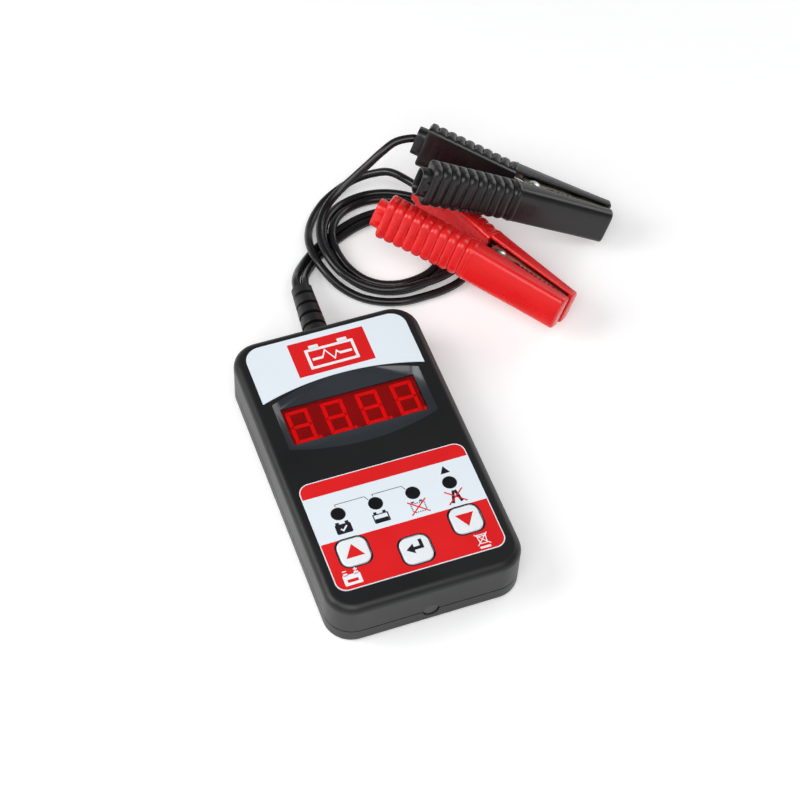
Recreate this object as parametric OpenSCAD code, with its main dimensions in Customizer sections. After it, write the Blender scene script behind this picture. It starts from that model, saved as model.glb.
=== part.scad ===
// Handheld battery tester: a two-shell case with a four digit display, three
// keys and a twin lead that ends in a red and a black spring clamp.
// Z is up, Y runs towards the end that the cable leaves, and the origin is the
// middle of the case's underside.

/* [Case] */
// Width of the case
case_w = 70; // [64:1:90]
// Length of the case
case_l = 118; // [110:1:150]
// Height of the case
case_h = 20; // [19:0.5:30]
// Radius of the case's corners, seen from above
corner_r = 10; // [7:0.5:14]
// Radius of the front shell's upper edge
edge_r = 3; // [1.5:0.25:4]
// Radius of the rear shell's lower edge
base_edge_r = 1.5; // [0.5:0.25:2]
// Thickness of the side walls
wall = 2.2; // [1.6:0.1:3]
// Thickness of the face and the floor
face_t = 2.2; // [1.8:0.1:3]
// Height of the joint between the two shells
part_z = 6; // [5:0.5:6.5]
// Width of the shadow groove at the joint
seam = 0.4; // [0.2:0.1:0.8]

/* [Labels] */
// Margin from the case's side to each label
label_margin = 4.7; // [4:0.1:8]
// Thickness of the label film
label_t = 0.3; // [0.2:0.05:0.5]
// Length of the lower label
lower_label_l = 44.7; // [44:0.5:50]
// Distance of the lower label from the front edge
lower_label_front = 8.2; // [6:0.1:12]
// Distance of the upper label from the back edge
upper_label_back = 3.5; // [3.2:0.1:6]
// Length of the upper label at its middle
upper_label_mid = 20; // [16:0.5:23]
// Length of the upper label along its sides
upper_label_side = 24.8; // [24.4:0.4:28]

/* [Display] */
// Width of the display window
window_w = 50; // [40:1:52]
// Length of the display window along Y
window_l = 16; // [14:0.5:18]
// Distance of the window's middle from the back edge
window_back = 39; // [38:0.5:42]
// Depth of the display recess below the face
recess_d = 2; // [1:0.1:2.4]
// Thickness of the red filter
filter_t = 1.5; // [1:0.1:2]
// Height of the display module on its board
module_h = 8; // [6:0.1:8.4]

/* [Keys] */
// Width of a key
key_w = 10.4; // [8:0.1:12]
// Corner radius of a key
key_r = 2.9; // [1:0.1:4]
// Gap around a key
key_gap = 0.3; // [0.2:0.05:0.5]
// Height of a key above the face
key_rise = 0.4; // [0.3:0.05:1]
// Travel of a key
key_travel = 0.5; // [0.3:0.05:0.8]
// Distance between the outer keys and the middle key
key_pitch = 20.2; // [16:0.1:21]

/* [Status lamps] */
// Distance between two lamps
lamp_pitch = 13.5; // [11:0.1:14]
// Diameter of a lamp's body
lamp_d = 5; // [3:0.1:5]

/* [Board] */
// Thickness of the circuit board
board_t = 1.6; // [1:0.1:2]
// Height of the circuit board's upper side
board_z = 8.2; // [7.6:0.1:9]
// Gap between the board and the case wall
board_gap = 1.4; // [0.5:0.1:3]
// Diameter of a screw pillar
pillar_d = 7; // [6:0.1:8]
// Diameter of a case screw's thread
screw_d = 2.9; // [2:0.1:3.5]

/* [Strain relief] */
// Height of the cable's exit
exit_z = 10.4; // [10:0.1:12]
// Diameter of the strain relief at the case
relief_d = 9.6; // [9:0.1:11]
// Diameter of the strain relief at its tip
relief_tip_d = 7.8; // [7.4:0.1:9]
// Length of the strain relief outside the case
relief_l = 25; // [20:1:40]

/* [Cable] */
// Diameter of one insulated lead
lead_d = 3.2; // [2.6:0.1:3.4]

/* [Clamps] */
// Length of a clamp's jaw from its pivot
jaw_l = 32; // [26:1:40]
// Length of a clamp's handle from its pivot
handle_l = 41.5; // [36:1:52]
// Distance from the pivot to the handle's first rib
flange_x = 6.6; // [6:0.1:9]
// Half the height of the closed clamp at its handle's end
handle_y = 20.3; // [18:0.1:24]
// Half the height of the clamp at the first rib
flange_y = 12.2; // [11:0.1:14]
// Half the height of the clamp at its tip
tip_y = 6.4; // [5.5:0.1:8]
// Thickness of a handle
handle_t = 9; // [8:0.1:10]
// Half the width of a handle at its end
handle_z = 8.4; // [7.6:0.1:10]
// Half the width of a jaw cover at its tip
tip_z = 6.6; // [6.4:0.1:8]
// Wall of the plastic covers
cover_t = 1.5; // [1:0.1:1.6]
// Thickness of the jaws' sheet metal
sheet_t = 0.8; // [0.6:0.05:0.9]
// Diameter of the pivot rivet
rivet_d = 3; // [2:0.1:3.2]
// Number of grooves across a handle
grooves = 8; // [4:1:9]
// Wire diameter of the clamp spring
wire_d = 1; // [0.6:0.1:1.2]

/* [Hidden] */

$fn = 64;
eps = 0.01;
fit = 0.15;                       // play of a piece in its seat

half_w = case_w / 2;
half_l = case_l / 2;
label_w = case_w - 2 * label_margin;
label_r = 6;                      // corner radius of the labels
lower_top = -half_l + lower_label_front + lower_label_l;
upper_top = half_l - upper_label_back;
window_y = half_l - window_back;
lamp_y = lower_top - 14.9;
outer_key_y = lower_top - 30.9;
middle_key_y = lower_top - 36.8;
recess_side = 2.5;                // run of the recess's sloped sides
hood_l = 7.4;                     // run of the slope above the window, at its middle
scoop_l = 7.3;                    // run of the slope below the window, at its middle
lip = 0.4;                        // straight edge between the slopes and the filter
filter_margin = 2;                // overlap of the filter behind the face
filter_top = case_h - recess_d - lip;

pillar_x = half_w - wall - 6.4;
pillar_y = half_l - wall - 7.2;
screw_head_d = screw_d + 2.6;
screw_head_h = 1.8;
screw_sink = 0.6;                 // depth of a screw head below the underside
post_d = 5;
board_w = case_w - 2 * (wall + board_gap);
board_l = case_l - 2 * (wall + board_gap);
board_bottom = board_z - board_t;

// Cable route: middle line of the twin lead, then each lead to its clamp.
twin_route = [[1.7, 84, 9.5], [2.8, 89, 8.2], [5, 94, 5.6], [8.4, 99, 3.2], [13.2, 104, 1.8],
    [19.6, 108.4, 1.7], [26.6, 112, 1.7], [34, 114.8, 1.7], [41.5, 116, 1.7],
    [49, 115, 1.7], [55.6, 111.6, 1.7], [60.4, 106, 1.7], [62.6, 99, 1.7],
    [62, 91.6, 1.7], [58.6, 85.4, 1.7], [53, 81.4, 1.7], [46.2, 79.6, 1.7],
    [39, 79.6, 1.7], [32, 82, 1.7], [26.2, 86.4, 2.3], [22, 92.6, 3.7],
    [20, 99.6, 5.1], [20.2, 107, 5.2], [22.6, 114, 5], [27.2, 120, 3.8],
    [33.4, 124.2, 2.3], [40.6, 126, 1.7], [48, 125.2, 1.7], [55, 122.2, 1.7],
    [61.2, 117.4, 1.7], [66.2, 111, 1.7], [69.4, 103.4, 1.7], [70.2, 95.2, 1.7],
    [68.4, 87.4, 1.7]];
black_route = [[64.6, 81.8, 3.6], [60, 78.6, 4.7], [53.8, 76.8, 4.9], [47, 76.2, 4.9],
    [39.4, 76.2, 4.9], [31.2, 78.2, 5], [24, 83.2, 5.8], [18.8, 90, 7.3],
    [16.6, 98, 8.3], [16.8, 106.4, 8.4], [19.6, 114.6, 8.4], [24.4, 120.8, 9.4],
    [30.4, 124.2, 12], [36.6, 125.4, 16.2], [42.6, 126.1, 20.8], [48.4, 127, 25],
    [54.4, 127.9, 27.8]];
red_route = [[67.9, 79.9, 1.8], [62.2, 75.2, 1.8], [54.6, 73, 1.8], [46.8, 72.4, 1.8],
    [38.8, 72.6, 1.8], [30.6, 75, 1.8], [23.2, 79.7, 2], [17.4, 86, 3.4],
    [13.8, 93.2, 5.5], [12.4, 101, 6], [13, 109, 4.9], [15.6, 116.8, 2.7],
    [20, 123.6, 1.8], [25.8, 129.2, 1.8], [32.8, 133, 2.4], [40.4, 134.2, 4.6],
    [47.6, 132.4, 7.6], [53.6, 128, 10.4]];

// Clamp places: position of the pivot and the turn about X, Y and Z.
red_place = [[72.8, 68.6, 15.1], [-25.5, 5.2, -57]];
black_place = [[95.6, 92.3, 19.9], [-20.6, 17.8, -26]];

ear_r = 4;
rivet_head_d = rivet_d + 1.2;
rivet_head_h = 0.7;
cover_in_z = 5.7;                 // half the width of a cover's hollow
jaw_z = 5.2;                      // half the width of the fixed jaw
jaw_step = 0.9;                   // the moving jaw lies this much further in
flange_z = (handle_z + tip_z) / 2 - 0.3;
jaw_edge = 0.5;                   // inner edge of a cover at the tip
tooth_pitch = 2;
tooth_h = 0.9;
collar_l = 4.5;
collar_in = 5;                    // inner height of a collar
collar_in_z = 9;                  // inner width of a collar
spring_r = 3.1;
spring_z = 2.6;                   // half the length of the spring's coil
spring_turns = 4;
crimp_d = 3.9;
crimp_l = 7;

// ---- helpers ----

// A rounded rectangle made of squares and circles, so that its arcs stay true.
module plate2d(w, l, r) {
    square([w - 2 * r, l], center = true);
    square([w, l - 2 * r], center = true);
    for (x = [-1, 1], y = [-1, 1])
        translate([x * (w / 2 - r), y * (l / 2 - r)]) circle(r);
}

module plate(w, l, r, h) {
    linear_extrude(h) plate2d(w, l, r);
}

// Section of a block's rim: run r inwards, height h, upper outer edge rounded by f.
module rim2d(r, h, f) {
    square([r, h - f]);
    square([r - f, h]);
    translate([r - f, h - f]) circle(f);
}

// A block with round corners and a round upper edge.
module soft_block(w, l, r, h, f) {
    cx = w / 2 - r;
    cy = l / 2 - r;
    translate([-cx, -cy, 0]) cube([2 * cx, 2 * cy, h]);
    for (x = [0, 1])
        mirror([x, 0, 0]) translate([cx, cy, 0]) rotate([90, 0, 0])
            linear_extrude(2 * cy) intersection() {
                rim2d(r, h, f);
                square([r, h]);
            }
    for (y = [0, 1])
        mirror([0, y, 0]) translate([-cx, cy, 0]) rotate([90, 0, 90])
            linear_extrude(2 * cx) intersection() {
                rim2d(r, h, f);
                square([r, h]);
            }
    for (x = [-1, 1], y = [-1, 1])
        translate([x * cx, y * cy, 0]) rotate_extrude() intersection() {
            rim2d(r, h, f);
            square([r, h]);
        }
}

module at_pillars() {
    for (x = [-1, 1], y = [-1, 1])
        translate([x * pillar_x, y * pillar_y, 0]) children();
}

module at_posts() {
    for (x = [-1, 1], y = [-1, 1])
        translate([x * (pillar_x - 8), y * (pillar_y - 4), 0]) children();
}

module at_lamps() {
    for (i = [-1.5:1:1.5])
        translate([i * lamp_pitch, lamp_y, 0]) children();
}

key_places = [[-key_pitch, outer_key_y], [0, middle_key_y], [key_pitch, outer_key_y]];

function unit(v) = v / norm(v);

// Direction of a route at its point i.
function heading(p, i) =
    unit(p[min(i + 1, len(p) - 1)] - p[max(i - 1, 0)]);

// A tube of half width a and half height b, swept along the points p.
module sweep(p, a, b, sides) {
    rings = [for (i = [0:len(p) - 1])
        let (t = heading(p, i), s = unit(cross(t, [0, 0, 1])), u = cross(s, t))
            for (k = [0:sides - 1])
                let (q = 360 * (k + 0.5) / sides)
                    p[i] + a * cos(q) * s + b * sin(q) * u];
    last = (len(p) - 1) * sides;
    polyhedron(points = rings, faces = concat(
        [[for (k = [0:sides - 1]) k]],
        [[for (k = [0:sides - 1]) last + sides - 1 - k]],
        [for (i = [0:len(p) - 2], k = [0:sides - 1])
            let (j = (k + 1) % sides, m = i * sides)
                [m + k, m + sides + k, m + sides + j, m + j]]));
}

// ---- case ----

module recess() {
    top = case_h + eps;
    steps = 12;
    hood = [for (i = [0:steps])
        let (u = 1 - 2 * i / steps)
            [u * (window_w / 2 + recess_side),
                window_l / 2 + 1.4 + (hood_l - 1.4) * (1 - u * u)]];
    scoop = [for (i = [0:steps])
        let (u = 2 * i / steps - 1)
            [u * (window_w / 2 + recess_side),
                -window_l / 2 - 2.6 - (scoop_l - 2.6) * (1 - u * u)]];
    translate([0, window_y, 0]) {
        hull() {
            translate([0, 0, top]) linear_extrude(1) polygon(concat(hood, scoop));
            translate([-window_w / 2, -window_l / 2, case_h - recess_d])
                cube([window_w, window_l, eps]);
        }
        translate([-window_w / 2, -window_l / 2, filter_top - eps])
            cube([window_w, window_l, recess_d]);
    }
}

module front_shell() {
    fw = window_w + 2 * filter_margin;
    fl = window_l + 2 * filter_margin;
    color("#17181a") difference() {
        union() {
            difference() {
                translate([0, 0, part_z + seam])
                    soft_block(case_w, case_l, corner_r, case_h - part_z - seam, edge_r);
                translate([0, 0, part_z])
                    plate(case_w - 2 * wall, case_l - 2 * wall, corner_r - wall,
                        case_h - face_t - part_z);
            }
            // tongue that stands in the rear shell's rim
            translate([0, 0, part_z]) difference() {
                plate(case_w - wall, case_l - wall, corner_r - wall / 2, seam + 1);
                translate([0, 0, -eps])
                    plate(case_w - 2 * wall, case_l - 2 * wall, corner_r - wall, seam + 2);
            }
            at_pillars() translate([0, 0, board_z + fit]) cylinder(d = pillar_d,
                h = case_h - face_t / 2 - board_z - fit);
            translate([0, window_y, filter_top - filter_t])
                plate(fw + 4, fl + 4, 2, case_h - face_t - filter_top + filter_t + eps);
        }
        recess();
        translate([-fw / 2 - fit, window_y - fl / 2 - fit, part_z])
            cube([fw + 2 * fit, fl + 2 * fit, filter_top - part_z]);
        at_pillars() translate([0, 0, part_z]) cylinder(d = screw_d - 0.5, h = 10);
        translate([0, 0, case_h - label_t]) linear_extrude(label_t + 1) upper_outline(fit);
        translate([0, 0, case_h - label_t]) linear_extrude(label_t + 1) lower_outline(fit);
        at_lamps() translate([0, 0, part_z]) cylinder(d = lamp_d + 0.3, h = case_h);
        for (p = key_places)
            translate([p[0], p[1], part_z])
                plate(key_w + 2 * key_gap, key_w + 2 * key_gap, key_r, case_h);
        translate([0, half_l + 1, exit_z]) rotate([90, 0, 0])
            cylinder(d = relief_neck_d + 2 * fit, h = wall + 2);
        end_hole();
    }
}

module rear_shell() {
    color("#1c1d1f") difference() {
        union() {
            difference() {
                translate([0, 0, part_z]) mirror([0, 0, 1])
                    soft_block(case_w, case_l, corner_r, part_z, base_edge_r);
                translate([0, 0, face_t])
                    plate(case_w - 2 * wall, case_l - 2 * wall, corner_r - wall, part_z);
            }
            at_pillars() translate([0, 0, face_t / 2])
                cylinder(d = pillar_d, h = board_bottom - face_t / 2);
            at_posts() translate([0, 0, face_t / 2])
                cylinder(d = post_d, h = board_bottom - face_t / 2);
        }
        at_pillars() {
            translate([0, 0, -eps])
                cylinder(d = screw_head_d + 0.6, h = screw_sink + screw_head_h + 2 * eps);
            cylinder(d = screw_d + 0.5, h = board_z);
        }
        end_hole();
    }
}

// Round pocket in the front end, over the joint of the shells.
plug_d = 5.4;
plug_t = 1.2;

module end_hole() {
    translate([0, -half_l + plug_t + 0.4, part_z]) rotate([90, 0, 0])
        cylinder(d = plug_d + 0.4, h = 4);
}

module end_plug() {
    color("#3a3b3e") translate([0, -half_l + plug_t + 0.4, part_z]) rotate([90, 0, 0])
        cylinder(d = plug_d, h = plug_t);
}

module case_screws() {
    color("#8d9094") at_pillars() {
        translate([0, 0, screw_sink]) difference() {
            cylinder(d = screw_head_d, h = screw_head_h);
            for (a = [0, 90])
                rotate([0, 0, a]) translate([-1.6, -0.35, -eps]) cube([3.2, 0.7, 0.8]);
        }
        translate([0, 0, screw_sink + screw_head_h - eps])
            cylinder(d = screw_d - 0.6, h = board_z + 5 - screw_sink);
    }
}

// ---- labels and window ----

module upper_outline(grow) {
    rise = upper_label_side - upper_label_mid;
    arch_r = (label_w * label_w / 4 + rise * rise) / (2 * rise);
    l = upper_label_side + label_r;
    difference() {
        translate([0, upper_top - l / 2]) plate2d(label_w + 2 * grow, l + 2 * grow, label_r);
        translate([0, upper_top - upper_label_mid - arch_r])
            circle(arch_r - grow, $fn = 200);
        translate([0, upper_top - l]) square([case_w, 2 * label_r], center = true);
    }
}

module lower_outline(grow) {
    translate([0, lower_top - lower_label_l / 2])
        plate2d(label_w + 2 * grow, lower_label_l + 2 * grow, label_r - 2);
}

module upper_label() {
    color("#e9edf2") translate([0, 0, case_h - label_t]) linear_extrude(label_t)
        upper_outline(0);
}

module lower_label() {
    color("#d7262b") translate([0, 0, case_h - label_t]) difference() {
        linear_extrude(label_t) lower_outline(0);
        at_lamps() translate([0, 0, -1]) cylinder(d = lamp_d + 0.2, h = 3);
        for (p = key_places)
            translate([p[0], p[1], -1])
                plate(key_w + 2 * key_gap, key_w + 2 * key_gap, key_r, 3);
    }
}

module display_filter() {
    w = window_w + 2 * filter_margin;
    l = window_l + 2 * filter_margin;
    color("#7c1216") translate([-w / 2, window_y - l / 2, filter_top - filter_t])
        cube([w, l, filter_t]);
}

module display_module() {
    top = min(board_z + module_h, filter_top - filter_t - 0.1);
    digit_w = 8;
    digit_l = 14.2;
    bar = 1.3;
    pitch = window_w / 4;
    color("#3b0d10") difference() {
        translate([-window_w / 2, window_y - 9.5, board_z])
            cube([window_w, 19, top - board_z]);
        // the segments are shallow wells in the reflector's face
        for (i = [-1.5:1:1.5])
            translate([i * pitch - 0.6, window_y, top - 0.4]) {
                for (y = [-1, 0, 1])
                    translate([-digit_w / 2 + bar, y * (digit_l - bar) / 2 - bar / 2, 0])
                        cube([digit_w - 2 * bar, bar, 1]);
                for (x = [-1, 1], y = [-1, 1])
                    translate([x * (digit_w - bar) / 2 - bar / 2,
                            y * (digit_l - bar) / 4 - digit_l / 4 + 1.5 * bar, 0])
                        cube([bar, digit_l / 2 - 2 * bar, 1]);
                translate([digit_w / 2 + 1.2, -digit_l / 2 + 0.7, 0]) cylinder(d = 1.4, h = 1);
            }
    }
}

module lamp_windows() {
    color("#101012") at_lamps() translate([0, 0, case_h - label_t])
        cylinder(d = lamp_d, h = label_t);
}

module status_lamps() {
    color("#b8d8a8") at_lamps() {
        top = case_h - label_t - 1;
        body = 8.6;
        translate([0, 0, top - body]) cylinder(d = lamp_d + 0.1, h = 1);
        translate([0, 0, top - body]) cylinder(d = lamp_d - 0.3, h = body - lamp_d / 2);
        translate([0, 0, top - lamp_d / 2]) sphere(d = lamp_d - 0.3);
        for (x = [-1, 1])
            translate([x * 1.27 - 0.25, -0.25, board_z]) cube([0.5, 0.5, top - body - board_z + 1]);
    }
}

// ---- keys ----

switch_h = 3.6;
plunger_d = 3.4;
plunger_rise = 1.4;
switch_top = board_z + switch_h;
stem_bottom = switch_top + plunger_rise;

module key(p) {
    translate([p[0], p[1], 0]) {
        translate([0, 0, case_h - face_t]) plate(key_w, key_w, key_r, face_t + key_rise);
        translate([0, 0, stem_bottom]) cylinder(d = 5, h = case_h - face_t - stem_bottom + eps);
    }
}

module plunger(p) {
    translate([p[0], p[1], board_z + 1.2])
        cylinder(d = plunger_d, h = stem_bottom - board_z - 1.2);
}

module up_key() {
    color("#f2f4f6") key(key_places[0]);
}

module enter_key() {
    color("#f2f4f6") key(key_places[1]);
}

module down_key() {
    color("#f2f4f6") key(key_places[2]);
}

module up_plunger() {
    color("#202020") plunger(key_places[0]);
}

module enter_plunger() {
    color("#202020") plunger(key_places[1]);
}

module down_plunger() {
    color("#202020") plunger(key_places[2]);
}

module key_switches() {
    color("#2b2b2e") for (p = key_places)
        translate([p[0], p[1], board_z]) difference() {
            translate([-3, -3, 0]) cube([6, 6, switch_h]);
            translate([0, 0, 1.2 - key_travel - 0.1])
                cylinder(d = plunger_d + 0.3, h = switch_h);
        }
}

// ---- board ----

module circuit_board() {
    color("#1f6b3a") translate([0, 0, board_bottom]) difference() {
        plate(board_w, board_l, corner_r - wall - board_gap, board_t);
        at_pillars() translate([0, 0, -1]) cylinder(d = screw_d + 0.5, h = 4);
        // room for the strain relief's inner flange
        translate([-relief_flange_d / 2 - 0.4, board_l / 2 - 1, -1])
            cube([relief_flange_d + 0.8, 2, board_t + 2]);
    }
}

module controller_chip() {
    color("#1a1a1c") translate([0, -4, board_z]) {
        translate([-5, -5, 0.3]) cube([10, 10, 1.4]);
        for (a = [0:90:270], i = [-3.5:1:3.5])
            rotate([0, 0, a]) translate([i * 1.1 - 0.2, 4.9, 0]) cube([0.4, 1.3, 0.6]);
    }
}

module capacitors() {
    color("#2d3a55") for (x = [-1, 1])
        translate([x * 11, half_l - 21, board_z]) {
            cylinder(d = 6.3, h = 7);
            translate([0, 0, 7 - eps]) cylinder(d = 5.3, h = 0.4);
        }
}

module load_resistor() {
    color("#e8e4d8") translate([0, half_l - 17, board_bottom - 3]) {
        translate([-9, -3, 0]) cube([18, 6, 2.9]);
        for (x = [-1, 1])
            translate([x * 7 - 0.4, -0.4, 2.8]) cube([0.8, 0.8, 0.2]);
    }
}

// ---- strain relief ----

relief_neck_d = 7;
relief_flange_d = 10.4;
relief_lean = 4;                  // turn to the side, in degrees
relief_droop = 2;                 // turn downwards, in degrees
relief_ribs = 5;
relief_gap = 1.5;                 // groove between two ribs
relief_out = relief_l - 1;

module at_relief() {
    translate([0, half_l + 1, exit_z]) rotate([-relief_droop, 0, -relief_lean]) children();
}

module strain_relief() {
    pitch = (relief_out + relief_gap) / relief_ribs;
    rib_l = pitch - relief_gap;
    function d_at(y) = relief_d + (relief_tip_d - relief_d) * y / relief_out;
    color("#202124") difference() {
        union() {
            translate([0, half_l - wall - fit, exit_z]) rotate([90, 0, 0])
                cylinder(d = relief_flange_d, h = 1.6);
            translate([0, half_l + 1, exit_z]) rotate([90, 0, 0])
                cylinder(d = relief_neck_d, h = wall + 1.5);
            translate([0, half_l + 1.4, exit_z]) rotate([90, 0, 0])
                cylinder(d = relief_d + 0.8, h = 1.4);
            // a flat core carries the round ribs
            at_relief() rotate([-90, 0, 0]) {
                linear_extrude(relief_out) plate2d(2 * lead_d + 1.3, lead_d + 1.5, 1.6);
                for (i = [0:relief_ribs - 1])
                    translate([0, 0, i * pitch])
                        cylinder(d1 = d_at(i * pitch), d2 = d_at(i * pitch + rib_l), h = rib_l);
            }
        }
        // flat bore of the cable
        translate([-lead_d - fit, half_l - wall - 3, exit_z - lead_d / 2 - fit])
            cube([2 * lead_d + 2 * fit, wall + 4.1, lead_d + 2 * fit]);
        at_relief() translate([-lead_d - fit, 0, -lead_d / 2 - fit])
            cube([2 * lead_d + 2 * fit, relief_out + 1, lead_d + 2 * fit]);
    }
}

// The end of the cable in the strain relief, with its two wires on the board.
module cable_tail() {
    color("#26272a") {
        translate([-lead_d, half_l - wall - 5, exit_z - lead_d / 2])
            cube([2 * lead_d, wall + 6.1, lead_d]);
        at_relief() translate([-lead_d, 0, -lead_d / 2])
            cube([2 * lead_d, relief_out - 0.6, lead_d]);
        for (x = [-1, 1])
            translate([x * lead_d / 2 - 0.6, half_l - wall - 4.9, board_z])
                cube([1.2, 1.2, exit_z - board_z]);
    }
}

module supply_cable() {
    color("#1d1e20") sweep(twin_route, lead_d, lead_d / 2, 10);
}

// Offset of a lead from the middle line where the twin lead ends.
function split_point(side) =
    let (n = len(twin_route) - 1, t = heading(twin_route, n),
        s = unit(cross(t, [0, 0, 1])))
        twin_route[n] + 0.8 * t + side * (lead_d / 2 + 0.1) * s;

module black_lead() {
    color("#1d1e20") sweep(concat([split_point(1)], black_route, collar_run(black_place)),
        lead_d / 2, lead_d / 2, 8);
}

module red_lead() {
    color("#1d1e20") sweep(concat([split_point(-1)], red_route, collar_run(red_place)),
        lead_d / 2, lead_d / 2, 8);
}

// ---- clamps ----
// A clamp's own frame: its pivot at the origin, X towards the tip, Z along the
// pivot. The fixed half is on the +Y side, and the moving half is its mirror.

function rot_x(v, a) = [v[0], v[1] * cos(a) - v[2] * sin(a), v[1] * sin(a) + v[2] * cos(a)];
function rot_y(v, a) = [v[0] * cos(a) + v[2] * sin(a), v[1], v[2] * cos(a) - v[0] * sin(a)];
function rot_z(v, a) = [v[0] * cos(a) - v[1] * sin(a), v[0] * sin(a) + v[1] * cos(a), v[2]];
function placed(v, place) =
    place[0] + rot_z(rot_y(rot_x(v, place[1][0]), place[1][1]), place[1][2]);

// Outer line of a half, and the inner line of its cover.
slope = (handle_y - flange_y) / (handle_l - flange_x);
flange_in = flange_y - handle_t - 0.4;
function outer_y(x) = x < -flange_x ? flange_y - slope * (x + flange_x)
    : flange_y + (tip_y - flange_y) * (x + flange_x) / (jaw_l + flange_x);
function inner_y(x) = x < -flange_x
    ? flange_in - (handle_y - handle_t - flange_in) * (x + flange_x) / (handle_l - flange_x)
    : flange_in + (jaw_edge - flange_in) * (x + flange_x) / (jaw_l + flange_x);
handle_turn = atan(slope);
handle_mid = handle_y - handle_t / 2;
cord_end = [-handle_l + 4 * cos(handle_turn), handle_mid - 4 * sin(handle_turn), 0];

cord_out = [-handle_l - 5.5 * cos(handle_turn), handle_mid + 5.5 * sin(handle_turn), 0];

// The last two points of a lead, in line with its clamp's collar.
function collar_run(place) = [placed(cord_out, place), placed(cord_end, place)];

module place_clamp(place) {
    translate(place[0]) rotate(place[1]) children();
}

module cover_half() {
    difference() {
        union() {
            intersection() {
                translate([0, 0, -20]) linear_extrude(40) polygon([
                    [-handle_l, outer_y(-handle_l)], [-flange_x, flange_y],
                    [jaw_l, tip_y], [jaw_l, jaw_edge],
                    [-flange_x, flange_in], [-handle_l, inner_y(-handle_l)]]);
                rotate([-90, 0, 0]) translate([0, 0, -1]) linear_extrude(40) polygon([
                    [-handle_l, -handle_z], [-flange_x, -flange_z], [jaw_l, -tip_z],
                    [jaw_l, tip_z], [-flange_x, flange_z], [-handle_l, handle_z]]);
            }
            // collar at the handle's end
            translate([-handle_l, handle_mid, 0]) rotate([0, 0, -handle_turn])
                translate([-collar_l, -collar_in / 2 - 1, -collar_in_z / 2 - 1])
                    cube([collar_l + 1.5, collar_in + 2, collar_in_z + 2]);
        }
        // hollow for the metal, open towards the other half in front of the handle
        translate([0, 0, -cover_in_z]) linear_extrude(2 * cover_in_z) polygon([
            [-handle_l + 2, outer_y(-handle_l + 2) - cover_t],
            [-flange_x, flange_y - cover_t],
            [jaw_l - cover_t, outer_y(jaw_l - cover_t) - cover_t],
            [jaw_l - cover_t, -1], [-flange_x, -1],
            [-flange_x, flange_in + cover_t],
            [-handle_l + 2, inner_y(-handle_l + 2) + cover_t]]);
        // opening of the collar
        translate([-handle_l, handle_mid, 0]) rotate([0, 0, -handle_turn])
            translate([-collar_l - 1, -collar_in / 2, -collar_in_z / 2])
                cube([collar_l + 5, collar_in, collar_in_z]);
        // grooves over the back and the sides of the handle
        for (i = [0:grooves - 1])
            let (s = (i + 0.7) * (handle_l - flange_x - 5) / grooves)
                translate([-flange_x, flange_y, 0]) rotate([0, 0, -handle_turn])
                    translate([-s - 1.5, 0, 0]) {
                        translate([0, -0.9, -15]) cube([1.5, 5, 30]);
                        for (z = [0, 1])
                            mirror([0, 0, z])
                                translate([0, -handle_t + 1.4, handle_z - 1.6])
                                    rotate([0, -2, 0]) cube([1.5, 15, 5]);
                    }
    }
}

// Sheet metal half: a back along the cover, two cheeks with teeth and an ear.
module jaw_half(z_out) {
    y0 = cover_t + 0.1;
    tip = jaw_l - cover_t - 0.3;
    root_x = -flange_x - (handle_l - flange_x) * 0.78;
    teeth = floor((tip - 8) / tooth_pitch);
    difference() {
        union() {
            translate([0, 0, -z_out]) linear_extrude(2 * z_out) polygon([
                [root_x, outer_y(root_x) - y0], [-flange_x, flange_y - y0],
                [tip, outer_y(tip) - y0], [tip, outer_y(tip) - y0 - sheet_t],
                [-flange_x, flange_y - y0 - sheet_t],
                [root_x, outer_y(root_x) - y0 - sheet_t]]);
            for (z = [-1, 1])
                translate([0, 0, z * (z_out - sheet_t / 2) - sheet_t / 2])
                    linear_extrude(sheet_t) {
                        polygon(concat(
                            [[-ear_r, flange_y - y0 - 0.4], [-ear_r, 0], [ear_r, 0]],
                            [for (i = [0:teeth - 1]) for (q = [0, 1])
                                [8 + (i + q * 0.5) * tooth_pitch, 0.2 + (1 - q) * tooth_h]],
                            [[tip, 0.2], [tip, outer_y(tip) - y0 - 0.1]]));
                        circle(ear_r);
                    }
        }
        translate([0, 0, -20]) cylinder(d = rivet_d + 0.2, h = 40);
    }
}

module rivet() {
    translate([0, 0, -jaw_z - 0.1]) cylinder(d = rivet_d, h = 2 * jaw_z + 0.2);
    for (z = [0, 1])
        mirror([0, 0, z]) translate([0, 0, jaw_z + 0.1])
            cylinder(d = rivet_head_d, h = rivet_head_h);
}

module wire(a, b) {
    d = b - a;
    translate(a) rotate([0, 0, atan2(d[1], d[0])]) rotate([0, 90, 0])
        cylinder(d = wire_d, h = norm(d), $fn = 24);
}

// The coil turns with the moving half, and its leg lies in that half's handle.
leg_x = -20;
leg_y = outer_y(-20) - cover_t - sheet_t - wire_d / 2 - 0.5;

module spring_coil() {
    steps = 16 * spring_turns;
    sweep_coil([for (i = [0:steps])
        [spring_r * cos(360 * i / 16), spring_r * sin(360 * i / 16),
            -spring_z + 2 * spring_z * i / steps]]);
    wire([0, -spring_r - 0.1, -spring_z], [leg_x, -leg_y, -spring_z]);
}

module spring_leg() {
    wire([0, spring_r + wire_d + 0.15, spring_z], [leg_x, leg_y, spring_z]);
}

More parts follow.
